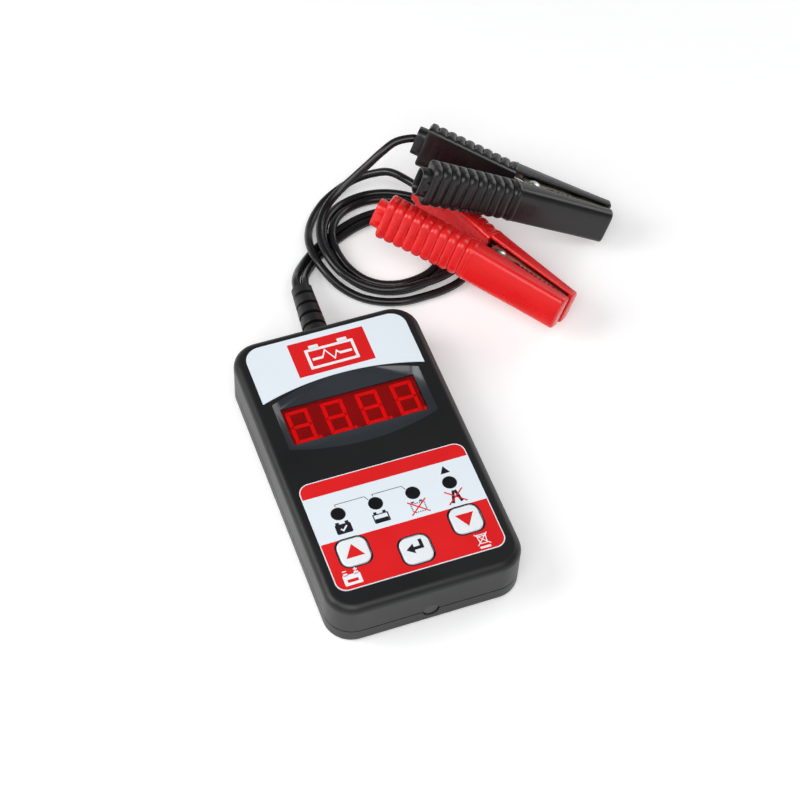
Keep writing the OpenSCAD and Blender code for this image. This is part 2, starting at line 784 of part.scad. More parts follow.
// Round wire along a coil whose axis is Z.
module sweep_coil(p) {
    sides = 8;
    rings = [for (i = [0:len(p) - 1])
        let (t = heading(p, i), s = unit([p[i][0], p[i][1], 0]), u = cross(s, t))
            for (k = [0:sides - 1])
                let (q = 360 * k / sides)
                    p[i] + wire_d / 2 * (cos(q) * s + sin(q) * u)];
    last = (len(p) - 1) * sides;
    polyhedron(points = rings, faces = concat(
        [[for (k = [0:sides - 1]) sides - 1 - k]],
        [[for (k = [0:sides - 1]) last + k]],
        [for (i = [0:len(p) - 2], k = [0:sides - 1])
            let (j = (k + 1) % sides, m = i * sides)
                [m + k, m + j, m + sides + j, m + sides + k]]));
}

module crimp() {
    translate([-handle_l, handle_mid, 0]) rotate([0, 0, -handle_turn])
        translate([4.4, 0, 0]) rotate([0, 90, 0]) cylinder(d = crimp_d, h = crimp_l);
}

module fixed_cover(place) {
    place_clamp(place) cover_half();
}

module moving_cover(place) {
    place_clamp(place) mirror([0, 1, 0]) cover_half();
}

module fixed_jaw(place) {
    place_clamp(place) jaw_half(jaw_z);
}

module moving_jaw(place) {
    place_clamp(place) mirror([0, 1, 0]) jaw_half(jaw_z - jaw_step);
}

module red_fixed_cover() {
    color("#e02020") fixed_cover(red_place);
}

module red_moving_cover() {
    color("#e02020") moving_cover(red_place);
}

module red_fixed_jaw() {
    color("#b9b2a0") fixed_jaw(red_place);
}

module red_moving_jaw() {
    color("#b9b2a0") moving_jaw(red_place);
}

module red_rivet() {
    color("#d8d8d4") place_clamp(red_place) rivet();
}

module red_spring() {
    color("#9a9a98") place_clamp(red_place) spring_coil();
}

module red_spring_leg() {
    color("#9a9a98") place_clamp(red_place) spring_leg();
}

module red_crimp() {
    color("#c8a060") place_clamp(red_place) crimp();
}

module black_fixed_cover() {
    color("#1b1b1d") fixed_cover(black_place);
}

module black_moving_cover() {
    color("#1b1b1d") moving_cover(black_place);
}

module black_fixed_jaw() {
    color("#b9b2a0") fixed_jaw(black_place);
}

module black_moving_jaw() {
    color("#b9b2a0") moving_jaw(black_place);
}

module black_rivet() {
    color("#d8d8d4") place_clamp(black_place) rivet();
}

module black_spring() {
    color("#9a9a98") place_clamp(black_place) spring_coil();
}

module black_spring_leg() {
    color("#9a9a98") place_clamp(black_place) spring_leg();
}

module black_crimp() {
    color("#c8a060") place_clamp(black_place) crimp();
}

front_shell();
rear_shell();
upper_label();
lower_label();
display_filter();
display_module();
circuit_board();
lamp_windows();
status_lamps();
up_key();
enter_key();
down_key();
up_plunger();
enter_plunger();
down_plunger();
key_switches();
controller_chip();
capacitors();
load_resistor();
case_screws();
end_plug();
strain_relief();
cable_tail();
supply_cable();
black_lead();
red_lead();
red_fixed_cover();
red_moving_cover();
red_fixed_jaw();
red_moving_jaw();
red_rivet();
red_spring();
red_spring_leg();
red_crimp();
black_fixed_cover();
black_moving_cover();
black_fixed_jaw();
black_moving_jaw();
black_rivet();
black_spring();
black_spring_leg();
black_crimp();
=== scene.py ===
import math

import bmesh
import bpy
from mathutils import Euler, Matrix, Quaternion, Vector
from mathutils.geometry import tessellate_polygon


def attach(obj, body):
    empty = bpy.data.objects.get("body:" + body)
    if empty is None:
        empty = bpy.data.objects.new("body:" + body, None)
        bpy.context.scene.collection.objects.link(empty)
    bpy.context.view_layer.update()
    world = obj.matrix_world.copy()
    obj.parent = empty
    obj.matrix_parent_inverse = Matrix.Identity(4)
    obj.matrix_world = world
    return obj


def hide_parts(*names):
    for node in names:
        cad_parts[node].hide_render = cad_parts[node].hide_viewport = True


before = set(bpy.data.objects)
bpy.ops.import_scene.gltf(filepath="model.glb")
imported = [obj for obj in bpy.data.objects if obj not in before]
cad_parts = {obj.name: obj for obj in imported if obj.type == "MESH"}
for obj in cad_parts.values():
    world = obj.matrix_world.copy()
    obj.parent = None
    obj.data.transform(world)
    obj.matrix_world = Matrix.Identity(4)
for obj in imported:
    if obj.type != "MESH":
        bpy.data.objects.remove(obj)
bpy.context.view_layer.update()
mm = 0.001
scene = bpy.context.scene


def point(x, y, z):
    return Vector((x, y, z)) * mm


# camera

cameraSettings = {"aim": (18.94, 24.18, 10), "distance": 759.5, "yaw": 22.77, "pitch": 53.64,
                  "roll": 3.44, "lens": 95.22, "sensor": 36}


def makeCamera(settings):
    yaw, pitch = math.radians(settings["yaw"]), math.radians(settings["pitch"])
    look = Vector((math.sin(yaw) * math.cos(pitch), math.cos(yaw) * math.cos(pitch), -math.sin(pitch)))
    data = bpy.data.cameras.new("camera")
    data.lens = settings["lens"]
    data.sensor_width = settings["sensor"]
    data.clip_start = 0.01
    camera = bpy.data.objects.new("camera", data)
    camera.rotation_mode = "QUATERNION"
    turn = Quaternion((0, 0, 1), math.radians(settings["roll"]))
    camera.rotation_quaternion = look.to_track_quat("-Z", "Y") @ turn
    camera.location = point(*settings["aim"]) - look * settings["distance"] * mm
    scene.collection.objects.link(camera)
    scene.camera = camera


makeCamera(cameraSettings)
print("camera is set")

# shared shader groups


def newGroup(name, inputs, outputs):
    group = bpy.data.node_groups.new(name, "ShaderNodeTree")
    for label, value in inputs.items():
        socket = group.interface.new_socket(name=label, in_out="INPUT", socket_type="NodeSocketFloat")
        socket.default_value = value
    for label, kind in outputs.items():
        group.interface.new_socket(name=label, in_out="OUTPUT", socket_type=kind)
    source = group.nodes.new("NodeGroupInput")
    sink = group.nodes.new("NodeGroupOutput")
    return group, source, sink


def noiseNode(tree, coordinates, scale, detail):
    noise = tree.nodes.new("ShaderNodeTexNoise")
    noise.inputs["Detail"].default_value = detail
    tree.links.new(coordinates, noise.inputs["Vector"])
    tree.links.new(scale, noise.inputs["Scale"])
    return noise.outputs["Fac"]


def rangeNode(tree, value, low, high, fromLow=0.3, fromHigh=0.7):
    remap = tree.nodes.new("ShaderNodeMapRange")
    tree.links.new(value, remap.inputs["Value"])
    for label, number in (("From Min", fromLow), ("From Max", fromHigh), ("To Min", low), ("To Max", high)):
        if isinstance(number, (int, float)):
            remap.inputs[label].default_value = number
        else:
            tree.links.new(number, remap.inputs[label])
    return remap.outputs["Result"]


grainSettings = {"inputs": {"Scale": 900, "Depth": 0.15, "Patch Scale": 40, "Rough Low": 0.35,
                            "Rough High": 0.5},
                 "bumpHeight": 0.00006, "fineDetail": 4.0, "patchDetail": 2.0, "fineShare": 0.4,
                 "glossFrom": 0.1, "glossTo": 1.2}


# Fine moulded texture: a bump, slow patches of tone, and the gloss that follows them.
def makeGrainGroup():
    s = grainSettings
    group, source, sink = newGroup("mouldedGrain", s["inputs"], {
        "Normal": "NodeSocketVector", "Patch": "NodeSocketFloat", "Roughness": "NodeSocketFloat"})
    coordinates = group.nodes.new("ShaderNodeTexCoord").outputs["Object"]
    fine = noiseNode(group, coordinates, source.outputs["Scale"], s["fineDetail"])
    patch = noiseNode(group, coordinates, source.outputs["Patch Scale"], s["patchDetail"])
    bump = group.nodes.new("ShaderNodeBump")
    bump.inputs["Distance"].default_value = s["bumpHeight"]
    group.links.new(source.outputs["Depth"], bump.inputs["Strength"])
    group.links.new(fine, bump.inputs["Height"])
    group.links.new(bump.outputs["Normal"], sink.inputs["Normal"])
    patches = rangeNode(group, patch, 0.0, 1.0)
    group.links.new(patches, sink.inputs["Patch"])
    mixed = group.nodes.new("ShaderNodeMath")
    mixed.operation = "MULTIPLY_ADD"
    group.links.new(fine, mixed.inputs[0])
    mixed.inputs[1].default_value = s["fineShare"]
    group.links.new(patches, mixed.inputs[2])
    rough = rangeNode(group, mixed.outputs[0], source.outputs["Rough Low"], source.outputs["Rough High"],
                      s["glossFrom"], s["glossTo"])
    group.links.new(rough, sink.inputs["Roughness"])
    return group


rubSettings = {"inputs": {"Scale": 60, "Amount": 0.3}, "stretch": (1, 9, 4), "turn": (0.3, 0.2, 0.7),
               "scratchDetail": 6.0, "spotDetail": 2.0, "scratches": (0.56, 0.72), "spots": (0.45, 0.65)}


# Thin scratches and rubbed spots, as a mask.
def makeRubGroup():
    s = rubSettings
    group, source, sink = newGroup("rubbedMarks", s["inputs"], {"Mask": "NodeSocketFloat"})
    coordinates = group.nodes.new("ShaderNodeTexCoord").outputs["Object"]
    stretch = group.nodes.new("ShaderNodeMapping")
    stretch.inputs["Scale"].default_value = s["stretch"]
    stretch.inputs["Rotation"].default_value = s["turn"]
    group.links.new(coordinates, stretch.inputs["Vector"])
    scratches = noiseNode(group, stretch.outputs["Vector"], source.outputs["Scale"], s["scratchDetail"])
    spots = noiseNode(group, coordinates, source.outputs["Scale"], s["spotDetail"])
    both = group.nodes.new("ShaderNodeMath")
    both.operation = "MULTIPLY"
    group.links.new(rangeNode(group, scratches, 0.0, 1.0, *s["scratches"]), both.inputs[0])
    group.links.new(rangeNode(group, spots, 0.0, 1.0, *s["spots"]), both.inputs[1])
    scaled = group.nodes.new("ShaderNodeMath")
    scaled.operation = "MULTIPLY"
    group.links.new(both.outputs[0], scaled.inputs[0])
    group.links.new(source.outputs["Amount"], scaled.inputs[1])
    group.links.new(scaled.outputs[0], sink.inputs["Mask"])
    return group


grainGroup = makeGrainGroup()
rubGroup = makeRubGroup()


# One finish: a colour that drifts, a grain, rubbed marks, and fixed shader values.
def makeFinish(name, colour, rough, grain=900, depth=0.15, patch=40, drift=0.08, rub=0.0,
               rubColour=None, **fixed):
    material = bpy.data.materials.new(name)
    material.use_nodes = True
    tree = material.node_tree
    shader = tree.nodes["Principled BSDF"]
    grainNode = tree.nodes.new("ShaderNodeGroup")
    grainNode.node_tree = grainGroup
    for label, value in (("Scale", grain), ("Depth", depth), ("Patch Scale", patch),
                         ("Rough Low", rough[0]), ("Rough High", rough[1])):
        grainNode.inputs[label].default_value = value
    tone = tree.nodes.new("ShaderNodeMix")
    tone.data_type = "RGBA"
    tone.inputs["A"].default_value = [c * (1 - drift) for c in colour] + [1]
    tone.inputs["B"].default_value = [min(1, c * (1 + drift)) for c in colour] + [1]
    tree.links.new(grainNode.outputs["Patch"], tone.inputs["Factor"])
    surface = tone.outputs["Result"]
    if rub:
        rubNode = tree.nodes.new("ShaderNodeGroup")
        rubNode.node_tree = rubGroup
        rubNode.inputs["Amount"].default_value = rub
        worn = tree.nodes.new("ShaderNodeMix")
        worn.data_type = "RGBA"
        worn.inputs["B"].default_value = list(rubColour or [min(1, c * 1.8 + 0.02) for c in colour]) + [1]
        tree.links.new(surface, worn.inputs["A"])
        tree.links.new(rubNode.outputs["Mask"], worn.inputs["Factor"])
        surface = worn.outputs["Result"]
    tree.links.new(surface, shader.inputs["Base Color"])
    tree.links.new(grainNode.outputs["Roughness"], shader.inputs["Roughness"])
    tree.links.new(grainNode.outputs["Normal"], shader.inputs["Normal"])
    for label, value in fixed.items():
        shader.inputs[label.replace("_", " ")].default_value = value
    return material


finishes = {
    "caseSatin": makeFinish("caseSatin", (0.0055, 0.0058, 0.0065), (0.38, 0.47), 1600, 0.28, 25, rub=0.05),
    # The recess is slate grey, lighter and bluer than the case: this colour is painted reflection standing
    # in for its highlights, while the coat and low roughness are its real gloss.
    "bezelGlossWithPaintedSheen": makeFinish("bezelGlossWithPaintedSheen", (0.021, 0.026, 0.033), (0.26, 0.34), 900, 0.05, Coat_Weight=0.35,
                             Coat_Roughness=0.12),
    "whiteFilm": makeFinish("whiteFilm", (0.79, 0.86, 0.92), (0.3, 0.38), 700, 0.06, 20, 0.02),
    "whiteInk": makeFinish("whiteInk", (0.86, 0.88, 0.9), (0.34, 0.42), 1400, 0.1, 60, 0.02),
    "redInk": makeFinish("redInk", (0.74, 0.01, 0.012), (0.3, 0.38), 1400, 0.08, 60, 0.04),
    "blackInk": makeFinish("blackInk", (0.006, 0.007, 0.012), (0.32, 0.4), 1400, 0.08, 60, 0.1),
    "greyInk": makeFinish("greyInk", (0.1, 0.11, 0.13), (0.34, 0.42), 1400, 0.08, 60, 0.06),
    "keyWhite": makeFinish("keyWhite", (0.83, 0.87, 0.9), (0.28, 0.36), 1300, 0.12, 90, 0.02),
    "lensDark": makeFinish("lensDark", (0.003, 0.003, 0.005), (0.28, 0.36), 500, 0.02),
    "filterRed": makeFinish("filterRed", (0.9, 0.01, 0.02), (0.03, 0.06), 400, 0.01, 15, 0.03,
                            Transmission_Weight=1.0, IOR=1.46),
    "cablePvc": makeFinish("cablePvc", (0.0075, 0.0075, 0.0085), (0.19, 0.3), 500, 0.05, 120, 0.2,
                           rub=0.05),
    "reliefPvc": makeFinish("reliefPvc", (0.011, 0.011, 0.012), (0.36, 0.46), 1200, 0.2, 80, 0.1),
    "redBoot": makeFinish("redBoot", (0.78, 0.01, 0.011), (0.22, 0.34), 700, 0.12, 60, 0.06,
                          Subsurface_Weight=0.06, Subsurface_Scale=0.001, Coat_Weight=0.15,
                          Coat_Roughness=0.2),
    "blackBoot": makeFinish("blackBoot", (0.0075, 0.0072, 0.0085), (0.24, 0.36), 700, 0.14, 60, 0.1,
                            rub=0.06, Coat_Weight=0.1, Coat_Roughness=0.2),
    "jawSteel": makeFinish("jawSteel", (0.52, 0.46, 0.37), (0.24, 0.4), 800, 0.15, 150, 0.12, rub=0.35,
                           rubColour=(0.24, 0.19, 0.13), Metallic=1.0),
    "zincSteel": makeFinish("zincSteel", (0.66, 0.66, 0.65), (0.2, 0.34), 900, 0.1, 200, 0.08, rub=0.2,
                            rubColour=(0.3, 0.3, 0.3), Metallic=1.0),
    "crimpBrass": makeFinish("crimpBrass", (0.6, 0.42, 0.17), (0.25, 0.4), 800, 0.1, 150, 0.1,
                             Metallic=1.0),
    "boardGreen": makeFinish("boardGreen", (0.012, 0.12, 0.045), (0.3, 0.4), 500, 0.1, 150, 0.2),
    "darkPlastic": makeFinish("darkPlastic", (0.02, 0.02, 0.022), (0.4, 0.5), 900, 0.2),
    "plugPlastic": makeFinish("plugPlastic", (0.045, 0.046, 0.05), (0.4, 0.5), 900, 0.25),
    "ceramicBody": makeFinish("ceramicBody", (0.7, 0.67, 0.6), (0.5, 0.65), 1200, 0.3),
    "capSleeve": makeFinish("capSleeve", (0.02, 0.04, 0.14), (0.25, 0.35), 500, 0.05),
    "clearEpoxy": makeFinish("clearEpoxy", (0.6, 0.68, 0.58), (0.08, 0.14), 300, 0.02),
}


def makeGlow(name, colour, strength):
    material = makeFinish(name, colour, (0.5, 0.6), 600, 0.05)
    shader = material.node_tree.nodes["Principled BSDF"]
    shader.inputs["Emission Color"].default_value = (*colour, 1)
    shader.inputs["Emission Strength"].default_value = strength
    return material


# The display segments and the face behind them glow faintly: painted light, so that they show red through
# the glass filter.
finishes["segmentRedPaintedGlow"] = makeGlow("segmentRedPaintedGlow", (1.0, 0.02, 0.045), 0.3)
finishes["segmentBackPaintedGlow"] = makeGlow("segmentBackPaintedGlow", (0.42, 0.012, 0.02), 0.1)
print("finishes are made:", len(finishes))

# mesh tools


# One piece from (vertices, faces) parts, its faces turned outwards.
def addPiece(name, parts, material, body, replaced=(), flatAngle=35):
    mesh = bpy.data.meshes.new(name)
    vertices, faces = [], []
    for partVertices, partFaces in parts:
        start = len(vertices)
        vertices += [tuple(v) for v in partVertices]
        faces += [[start + i for i in face] for face in partFaces]
    mesh.from_pydata(vertices, [], faces)
    work = bmesh.new()
    work.from_mesh(mesh)
    bmesh.ops.recalc_face_normals(work, faces=work.faces)
    work.to_mesh(mesh)
    work.free()
    mesh.shade_smooth()
    mesh.set_sharp_from_angle(angle=math.radians(flatAngle))
    piece = bpy.data.objects.new(name, mesh)
    scene.collection.objects.link(piece)
    mesh.materials.append(finishes[material])
    settle(piece, body, replaced)
    return piece


def settle(piece, body, replaced=()):
    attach(piece, body)
    if replaced:
        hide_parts(*replaced)


# A skin over rings that have the same number of points.
def loft(rings, loop=False):
    n = len(rings[0])
    vertices = [v for ring in rings for v in ring]
    faces = []
    for i in range(len(rings) if loop else len(rings) - 1):
        a, b = i * n, (i + 1) % len(rings) * n
        faces += [[a + k, a + (k + 1) % n, b + (k + 1) % n, b + k] for k in range(n)]
    if not loop:
        faces.append(list(range(n))[::-1])
        faces.append([(len(rings) - 1) * n + k for k in range(n)])
    return vertices, faces


# A round body from a profile of (radius, height) pairs, closed on its axis.
def turned(profile, place, sides=32):
    rings = []
    for radius, height in profile:
        ring = []
        for k in range(sides):
            a = 2 * math.pi * k / sides
            ring.append(place @ (Vector((radius * math.cos(a), radius * math.sin(a), height)) * mm))
        rings.append(ring)
    return loft(rings)


skinSettings = {"merge": 0.000002, "flat": 0.002, "bevelFrom": 40, "bevelSteps": 2}


# A merged copy of a CAD node's mesh, so that its faces can be shaded as one skin.
def skinOf(node, name, materials, body, flatAngle=30, bevel=0.0):
    mesh = bpy.data.objects[node].data.copy()
    mesh.name = name
    work = bmesh.new()
    work.from_mesh(mesh)
    bmesh.ops.remove_doubles(work, verts=work.verts, dist=skinSettings["merge"])
    bmesh.ops.dissolve_limit(work, angle_limit=skinSettings["flat"], verts=work.verts, edges=work.edges)
    work.to_mesh(mesh)
    work.free()
    mesh.materials.clear()
    for material in materials:
        mesh.materials.append(finishes[material])
    mesh.shade_smooth()
    mesh.set_sharp_from_angle(angle=math.radians(flatAngle))
    piece = bpy.data.objects.new(name, mesh)
    scene.collection.objects.link(piece)
    if bevel:
        soften = piece.modifiers.new("soften", "BEVEL")
        soften.width = bevel * mm
        soften.segments = skinSettings["bevelSteps"]
        soften.limit_method = "ANGLE"
        soften.angle_limit = math.radians(skinSettings["bevelFrom"])
        soften.harden_normals = True
    else:
        level = piece.modifiers.new("level", "WEIGHTED_NORMAL")
        level.keep_sharp = True
    settle(piece, body, [node])
    return piece


# A smooth line through all the points.
def smoothPath(points, steps=6):
    path = []
    for i in range(len(points) - 1):
        a, b = points[max(i - 1, 0)], points[i]
        c, d = points[i + 1], points[min(i + 2, len(points) - 1)]
        for k in range(steps):
            t = k / steps
            path.append(0.5 * (2 * b + (c - a) * t + (2 * a - 5 * b + 4 * c - d) * t * t
                               + (3 * b - a - 3 * c + d) * t ** 3))
    return path + [points[-1]]


# clamps' places

clampSize = {"handle": 41.5, "flangeX": 6.6, "jaw": 32, "handleY": 20.3, "flangeY": 12.2, "tipY": 6.4,
             "thick": 9, "handleZ": 8.4, "flangeZ": 7.2, "tipZ": 6.6, "innerZ": 5.7, "cover": 1.5,
             "lipFlange": 4.4, "lipTip": 1.6}
clampPlaces = {"red": {"pivot": (72.8, 68.6, 15.1), "turn": (-25.5, 5.2, -57)},
               "black": {"pivot": (95.6, 92.3, 19.9), "turn": (-20.6, 17.8, -26)}}


def clampFrame(colour):
    settings = clampPlaces[colour]
    turn = Euler([math.radians(a) for a in settings["turn"]], "XYZ").to_matrix().to_4x4()
    return Matrix.Translation(point(*settings["pivot"])) @ turn


handleSlope = (clampSize["handleY"] - clampSize["flangeY"]) / (clampSize["handle"] - clampSize["flangeX"])
handleTurn = math.atan(handleSlope)


# A point on the handle's middle line, s beyond its end.
def handlePoint(s):
    x = -clampSize["handle"] - s * math.cos(handleTurn)
    y = clampSize["handleY"] - clampSize["thick"] / 2 + s * math.sin(handleTurn)
    return point(x, y, 0)


# leads

leadSettings = {"diameter": 3.2, "gap": 0.04, "exit": (1.63, 84.0, 9.5), "start": (1.6, 82.9, 9.56),
                "nearEnd": (5.5, 3.5), "reach": 4.2}
twinRoute = [(1.7, 84, 9.5), (2.8, 89, 8.2), (5, 94, 5.6), (8.4, 99, 3.2), (13.2, 104, 1.8),
             (19.6, 108.4, 1.7), (26.6, 112, 1.7), (34, 114.8, 1.7), (41.5, 116, 1.7),
             (49, 115, 1.7), (55.6, 111.6, 1.7), (60.4, 106, 1.7), (62.6, 99, 1.7),
             (62, 91.6, 1.7), (58.6, 85.4, 1.7), (53, 81.4, 1.7), (46.2, 79.6, 1.7),
             (39, 79.6, 1.7), (32, 82, 1.7), (26.2, 86.4, 2.3), (22, 92.6, 3.7),
             (20, 99.6, 5.1), (20.2, 107, 5.2), (22.6, 114, 5), (27.2, 120, 3.8),
             (33.4, 124.2, 2.3), (40.6, 126, 1.7), (48, 125.2, 1.7), (55, 122.2, 1.7),
             (61.2, 117.4, 1.7), (66.2, 111, 1.7), (69.4, 103.4, 1.7), (70.2, 95.2, 1.7),
             (68.4, 87.4, 1.7)]
ownRoute = {"black": [(64.6, 81.8, 3.6), (60, 78.6, 4.7), (53.8, 76.8, 4.9), (47, 76.2, 4.9),
                      (39.4, 76.2, 4.9), (31.2, 78.2, 5), (24, 83.2, 5.8), (18.8, 90, 7.3),
                      (16.6, 98, 8.3), (16.8, 106.4, 8.4), (19.6, 114.6, 8.4), (24.4, 120.8, 9.4),
                      (30.4, 124.2, 12), (36.6, 125.4, 16.2), (42.6, 126.1, 20.8), (48.4, 127, 25),
                      (54.4, 127.9, 27.8)],
            "red": [(67.9, 79.9, 1.8), (62.2, 75.2, 1.8), (54.6, 73, 1.8), (46.8, 72.4, 1.8),
                    (38.8, 72.6, 1.8), (30.6, 75, 1.8), (23.2, 79.7, 2), (17.4, 86, 3.4),
                    (13.8, 93.2, 5.5), (12.4, 101, 6), (13, 109, 4.9), (15.6, 116.8, 2.7),
                    (20, 123.6, 1.8), (25.8, 129.2, 1.8), (32.8, 133, 2.4), (40.4, 134.2, 4.6),
                    (47.6, 132.4, 7.6), (53.6, 128, 10.4)]}


# Middle line of one lead: beside its twin as far as the split, then alone to its clamp.
def leadPath(colour):
    side = 1 if colour == "black" else -1
    offset = leadSettings["diameter"] / 2 + leadSettings["gap"]
    line = [Vector(p) for p in twinRoute]
    points = [point(*leadSettings["start"]) + Vector((side * offset, 0, 0)) * mm]
    for i, p in enumerate(line):
        heading = line[min(i + 1, len(line) - 1)] - line[max(i - 1, 0)]
        across = heading.cross(Vector((0, 0, 1))).normalized()
        points.append((p + across * offset * side) * mm)
    points += [point(*p) for p in ownRoute[colour]]
    place = clampFrame(colour)
    points += [place @ handlePoint(s) for s in (*leadSettings["nearEnd"], -leadSettings["reach"])]
    return smoothPath(points)


def makeLead(colour, replaced):
    path = leadPath(colour)
    data = bpy.data.curves.new(colour + "LeadCord", "CURVE")
    data.dimensions = "3D"
    data.bevel_depth = leadSettings["diameter"] / 2 * mm
    data.bevel_resolution = 4
    data.use_fill_caps = True
    spline = data.splines.new("POLY")
    spline.points.add(len(path) - 1)
    for where, p in zip(spline.points, path):
        where.co = (*p, 1)
    lead = bpy.data.objects.new(colour + "LeadCord", data)
    scene.collection.objects.link(lead)
    data.materials.append(finishes["cablePvc"])
    settle(lead, "case", replaced)
    return lead, sum((b - a).length for a, b in zip(path, path[1:]))


leads = {"black": makeLead("black", ["black_lead", "supply_cable"]), "red": makeLead("red", ["red_lead"])}
print("leads are laid:", {colour: round(length, 3) for colour, (lead, length) in leads.items()})

# shells, keys and small parts

hoodSettings = {"half": 27.8, "from": 4.5, "to": 36, "low": 17.9, "high": 19.98}  # the glossy recess
keySettings = {"places": {"up": (-20.2, -37), "enter": (0, -42.9), "down": (20.2, -37)}, "top": 20.4,
               "soft": 0.45, "ring": (11.9, 3.6), "ringInside": (11.05, 3.2)}


def inHood(place):
    x, y, z = (c / mm for c in place)
    h = hoodSettings
    return abs(x) < h["half"] and h["from"] < y < h["to"] and h["low"] < z < h["high"]


shellSkin = skinOf("front_shell", "frontShellSkin", ["caseSatin", "bezelGlossWithPaintedSheen"], "case", 25)
# Recess faces get the glossy finish whose lighter colour is painted reflection.
for face in shellSkin.data.polygons:
    face.material_index = int(inHood(face.center))
skinOf("rear_shell", "rearShellSkin", ["caseSatin"], "case", 25)
skinOf("strain_relief", "strainReliefSkin", ["reliefPvc"], "case", 30, 0.3)
skinOf("end_plug", "endPlugSkin", ["plugPlastic"], "case", 30, 0.25)
for name in keySettings["places"]:
    skinOf(name + "_key", name + "KeyCap", ["keyWhite"], name + "_button", 30,
           keySettings["soft"])

plainFinishes = {"upper_label": "whiteFilm", "lower_label": "whiteFilm", "display_filter": "filterRed",
                 "display_module": "segmentBackPaintedGlow", "circuit_board": "boardGreen",
                 "lamp_windows": "lensDark", "status_lamps": "clearEpoxy", "key_switches": "darkPlastic",
                 "controller_chip": "darkPlastic", "capacitors": "capSleeve",
                 "load_resistor": "ceramicBody", "case_screws": "zincSteel", "cable_tail": "cablePvc",
                 "up_plunger": "darkPlastic", "enter_plunger": "darkPlastic",
                 "down_plunger": "darkPlastic"}
clampFinishes = {"fixed_jaw": "jawSteel", "moving_jaw": "jawSteel", "rivet": "zincSteel",
                 "spring": "zincSteel", "spring_leg": "zincSteel", "crimp": "crimpBrass"}
for colour in clampPlaces:
    plainFinishes.update({colour + "_" + node: finish for node, finish in clampFinishes.items()})
for node, finish in plainFinishes.items():
    for slot in bpy.data.objects[node].material_slots:
        slot.material = finishes[finish]
print("shells and CAD parts are finished")

# repeats along a line


def makeRepeatGroup():
    group = bpy.data.node_groups.new("repeatInLine", "GeometryNodeTree")
    for label, kind in (("Geometry", "NodeSocketGeometry"), ("Count", "NodeSocketInt"),
                        ("Step", "NodeSocketVector"), ("Finish", "NodeSocketMaterial")):
        group.interface.new_socket(name=label, in_out="INPUT", socket_type=kind)
    group.interface.new_socket(name="Geometry", in_out="OUTPUT", socket_type="NodeSocketGeometry")
    source, sink = group.nodes.new("NodeGroupInput"), group.nodes.new("NodeGroupOutput")
    line = group.nodes.new("GeometryNodeMeshLine")
    copies = group.nodes.new("GeometryNodeInstanceOnPoints")
    solid = group.nodes.new("GeometryNodeRealizeInstances")
    paint = group.nodes.new("GeometryNodeSetMaterial")
    links = group.links
    links.new(source.outputs["Count"], line.inputs["Count"])
    links.new(source.outputs["Step"], line.inputs["Offset"])
    links.new(line.outputs["Mesh"], copies.inputs["Points"])
    links.new(source.outputs["Geometry"], copies.inputs["Instance"])
    links.new(copies.outputs["Instances"], solid.inputs["Geometry"])
    links.new(solid.outputs["Geometry"], paint.inputs["Geometry"])
    links.new(source.outputs["Finish"], paint.inputs["Material"])
    links.new(paint.outputs["Geometry"], sink.inputs["Geometry"])
    return group


repeatGroup = makeRepeatGroup()


# Copies of one shape along a line, turned into one plain mesh.
def addRepeat(name, parts, material, body, count, step):
    piece = addPiece(name, parts, material, body)
    repeat = piece.modifiers.new("repeat", "NODES")
    repeat.node_group = repeatGroup
    sockets = [item for item in repeatGroup.interface.items_tree if item.in_out == "INPUT"]
    inputs = {item.name: item.identifier for item in sockets}
    repeat[inputs["Count"]] = count
    repeat[inputs["Step"]] = [c * mm for c in step]
    repeat[inputs["Finish"]] = finishes[material]
    result = bpy.data.meshes.new_from_object(piece.evaluated_get(bpy.context.evaluated_depsgraph_get()))
    piece.modifiers.clear()
    piece.data = result
    return piece


# flat shapes for the print


# A thin plate from an outline and the holes in it.
def slab(outlines, low, high):
    loops = [[Vector((x, y, 0)) for x, y in outline] for outline in outlines]
    flat = [p for loop in loops for p in loop]
    n = len(flat)
    triangles = tessellate_polygon(loops)
    vertices = [point(p.x, p.y, low) for p in flat] + [point(p.x, p.y, high) for p in flat]
    faces = [list(t) for t in triangles] + [[i + n for i in t] for t in triangles]
    start = 0
    for loop in loops:
        m = len(loop)
        for k in range(m):
            a, b = start + k, start + (k + 1) % m
            faces.append([a, b, b + n, a + n])
        start += m
    return vertices, faces


# Box outline with round corners, from the upper right one; a list gives each its radius.
def roundBox(cx, cy, width, length, radius, steps=7):
    radii = [radius] * 4 if isinstance(radius, (int, float)) else radius
    outline = []
    for k, (sx, sy) in enumerate(((1, 1), (-1, 1), (-1, -1), (1, -1))):
        r = radii[k]
        x, y = cx + sx * (width / 2 - r), cy + sy * (length / 2 - r)
        for i in range(steps if r else 1):
            a = math.pi / 2 * (k + i / (steps - 1))
            outline.append((x + r * math.cos(a), y + r * math.sin(a)))
    return outline


def disc(cx, cy, radius, steps=28):
    turns = [2 * math.pi * k / steps for k in range(steps)]
    return [(cx + radius * math.cos(a), cy + radius * math.sin(a)) for a in turns]


# Straight stroke between two points.
def bar(x1, y1, x2, y2, width):
    along = Vector((x2 - x1, y2 - y1)).normalized() * width / 2
    dx, dy = -along.y, along.x
    return [(x1 + dx, y1 + dy), (x1 - dx, y1 - dy), (x2 - dx, y2 - dy), (x2 + dx, y2 + dy)]


inkSettings = {"label": 20.0, "sunk": 0.005, "first": 0.02, "over": 0.03, "overAll": 0.034, "last": 0.038}


# One print: closed plates a little above the surface that carries them.
def addInk(name, shapes, material, body="case", level=inkSettings["label"],
           rise=inkSettings["first"]):
    parts = [slab(shape, level - inkSettings["sunk"], level + rise) for shape in shapes]
    return addPiece(name, parts, material, body)


# the labels' print

